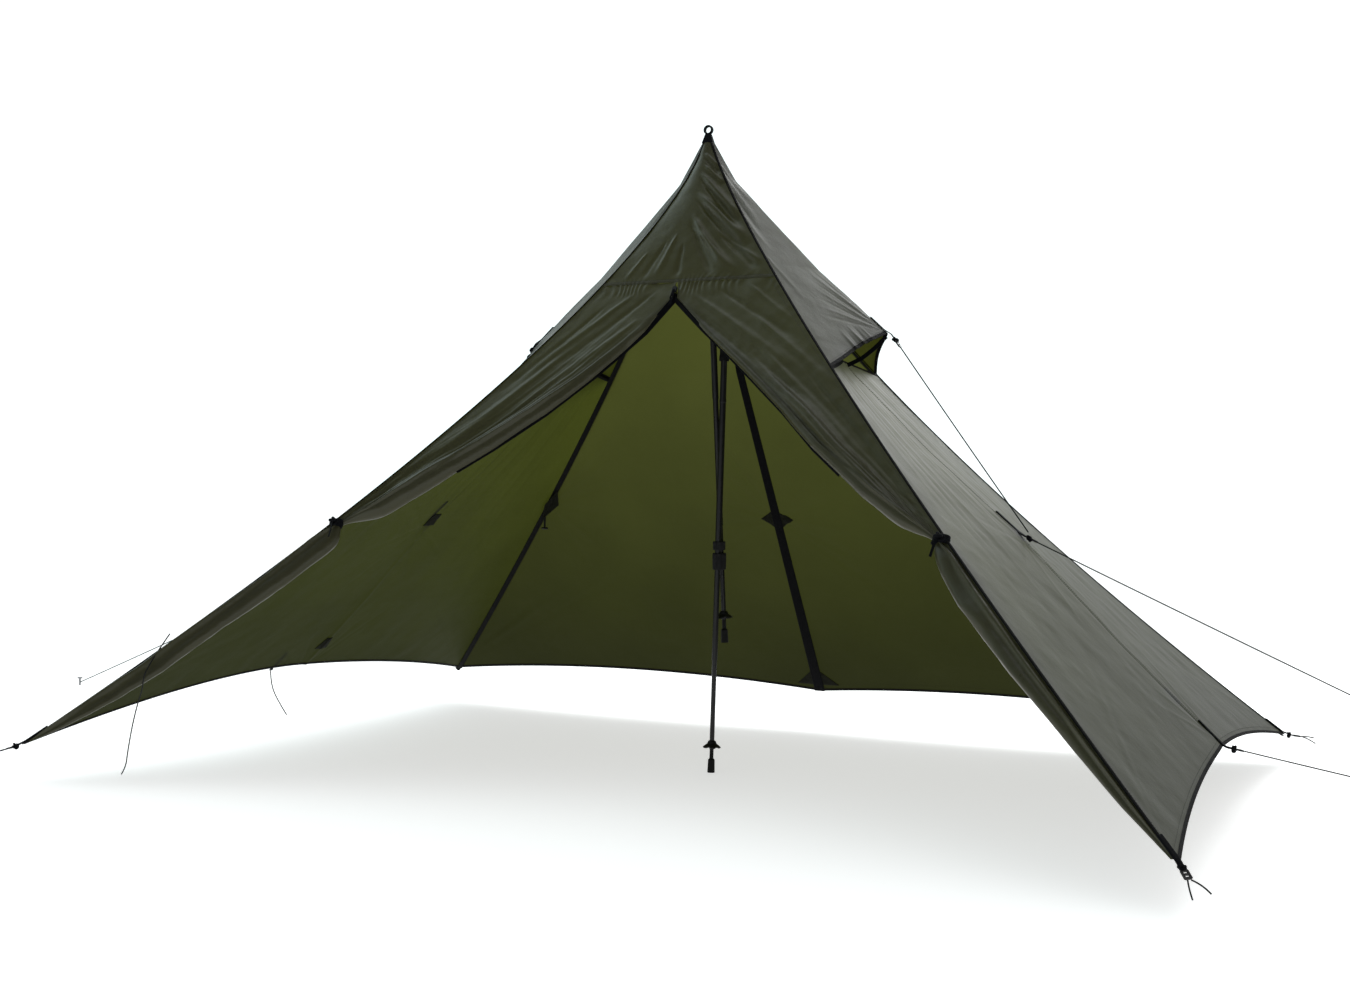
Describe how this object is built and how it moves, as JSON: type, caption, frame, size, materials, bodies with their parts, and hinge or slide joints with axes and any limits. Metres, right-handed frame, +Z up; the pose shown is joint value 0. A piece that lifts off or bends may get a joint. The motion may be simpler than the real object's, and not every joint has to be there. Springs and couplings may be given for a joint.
{
  "type": "pyramid tent",
  "caption": "Rectangular pyramid tent on two strapped trekking poles, with doors tied back, side vent hoods, a zipped back and pegged guylines.",
  "frame": {"origin": "on the ground straight below the apex, in the middle of the base", "axes": "+Z up, +X to the right seen from the doors, doors face -Y"},
  "size_m": [4.926, 2.0769, 1.734],
  "materials": {
    "front_fabric": "woven, waterproof coated",
    "side_fabric": "woven, waterproof coated",
    "binding": "folded woven tape",
    "zip_tape": "knitted zip tape",
    "webbing": "woven webbing",
    "patch": "heavy coated fabric",
    "plastic": "moulded, fine texture",
    "zip_metal": "dark painted",
    "shaft": "dark anodised tube",
    "shaft_light": "dark anodised tube, the thinnest section",
    "grip": "foam and rubber",
    "rubber": "moulded rubber",
    "strap": "hook-and-loop strap",
    "peg": "anodised",
    "cord": "braided"
  },
  "bodies": {
    "canopy": {"apex_cap": "webbing", "back_left_panel": "front_fabric", "back_ridge_tapes": "binding", "back_right_panel": "front_fabric", "back_zip_tape": "zip_tape", "corner_webbing": "webbing", "front_left_line": "cord", "front_ridge_tapes": "binding", "front_top_panel": "front_fabric", "front_zip_slider": "zip_metal", "guyline_pegs": "peg", "hem_bindings": "binding", "hood_bindings": "binding", "left_door_tie": "webbing", "left_front_door": "front_fabric", "left_hanging_cord": "cord", "left_mid_tail": "cord", "left_panel_line": "cord", "left_side_panel": "side_fabric", "left_vent_hood": "side_fabric", "left_zip_tape": "zip_tape", "line_adjusters": "plastic", "panel_patches": "patch", "pole_a_grip": "grip", "pole_a_upper_shaft": "shaft", "pole_b_grip": "grip", "pole_b_upper_shaft": "shaft", "pole_straps": "strap", "ridge_patches": "patch", "right_door_tie": "webbing", "right_front_door": "front_fabric", "right_hood_line": "cord", "right_mid_line": "cord", "right_panel_line": "cord", "right_side_panel": "side_fabric", "right_vent_hood": "side_fabric", "right_zip_tape": "zip_tape", "tie_out_webbing": "webbing"},
    "pole_a_mid": {"pole_a_mid_shaft": "shaft"},
    "pole_a_lower": {"pole_a_lower_shaft": "shaft_light", "pole_a_basket": "plastic", "pole_a_tip_cover": "rubber"},
    "pole_b_mid": {"pole_b_mid_shaft": "shaft"},
    "pole_b_lower": {"pole_b_lower_shaft": "shaft_light", "pole_b_basket": "plastic", "pole_b_tip_cover": "rubber"},
    "left_vent_strut": {"left_vent_strut": "webbing"},
    "right_vent_strut": {"right_vent_strut": "webbing"},
    "front_zip_pull": {"front_zip_pull": "webbing"},
    "back_zip_slider": {"back_zip_slider": "zip_metal"},
    "back_zip_pull": {"back_zip_pull": "webbing"},
    "front_right_adjuster": {"front_right_adjuster": "plastic", "front_right_tail_a": "cord", "front_right_tail_b": "cord"},
    "back_right_adjuster": {"back_right_adjuster": "plastic", "back_right_tail_a": "cord", "back_right_tail_b": "cord"},
    "back_left_toggle": {"back_left_toggle": "plastic"},
    "back_right_toggle": {"back_right_toggle": "plastic"}
  },
  "joints": [
    {"name": "pole_a_mid_slide", "type": "slide", "parent": "canopy", "child": "pole_a_mid", "axis": [0.008, 0.0216, 0.9997], "range_m": [0, 0.15]},
    {"name": "pole_a_lower_slide", "type": "slide", "parent": "pole_a_mid", "child": "pole_a_lower", "axis": [0.008, 0.0216, 0.9997], "range_m": [0, 0.17]},
    {"name": "pole_b_mid_slide", "type": "slide", "parent": "canopy", "child": "pole_b_mid", "axis": [-0.0438, -0.0346, 0.9984], "range_m": [0, 0.03]},
    {"name": "pole_b_lower_slide", "type": "slide", "parent": "pole_b_mid", "child": "pole_b_lower", "axis": [-0.0438, -0.0346, 0.9984], "range_m": [0, 0.03]},
    {"name": "right_vent_strut_hinge", "type": "hinge", "parent": "canopy", "child": "right_vent_strut", "pos_m": [0.505, 0, 1.152], "axis": [0, 1, 0], "range_deg": [-75, 0]},
    {"name": "left_vent_strut_hinge", "type": "hinge", "parent": "canopy", "child": "left_vent_strut", "pos_m": [-0.505, 0, 1.152], "axis": [0, -1, 0], "range_deg": [-75, 0]},
    {"name": "front_zip_pull_hinge", "type": "hinge", "parent": "canopy", "child": "front_zip_pull", "pos_m": [0, -0.20383, 1.26947], "axis": [1, 0, 0], "range_deg": [-80, 0]},
    {"name": "back_zip_slide", "type": "slide", "parent": "canopy", "child": "back_zip_slider", "axis": [0, -0.5873, 0.8094], "range_m": [0, 1.14]},
    {"name": "back_zip_pull_hinge", "type": "hinge", "parent": "back_zip_slider", "child": "back_zip_pull", "pos_m": [0, 0.93013, 0.16017], "axis": [1, 0, 0], "range_deg": [0, 80]},
    {"name": "front_right_adjuster_swing", "type": "hinge", "parent": "canopy", "child": "front_right_adjuster", "pos_m": [1.40241, -1.01361, 0.08539], "axis": [0.6332, 0.774, 0], "range_deg": [-35, 35]},
    {"name": "back_right_adjuster_swing", "type": "hinge", "parent": "canopy", "child": "back_right_adjuster", "pos_m": [1.41885, 1.01666, 0.07678], "axis": [-0.304, 0.9527, 0], "range_deg": [-10, 60]},
    {"name": "back_left_toggle_swing", "type": "hinge", "parent": "canopy", "child": "back_left_toggle", "pos_m": [-0.81618, 0.58976, 0.663], "axis": [1, 0, 0], "range_deg": [-25, 25]},
    {"name": "back_right_toggle_swing", "type": "hinge", "parent": "canopy", "child": "back_right_toggle", "pos_m": [0.74898, 0.54119, 0.663], "axis": [1, 0, 0], "range_deg": [-25, 25]}
  ]
}
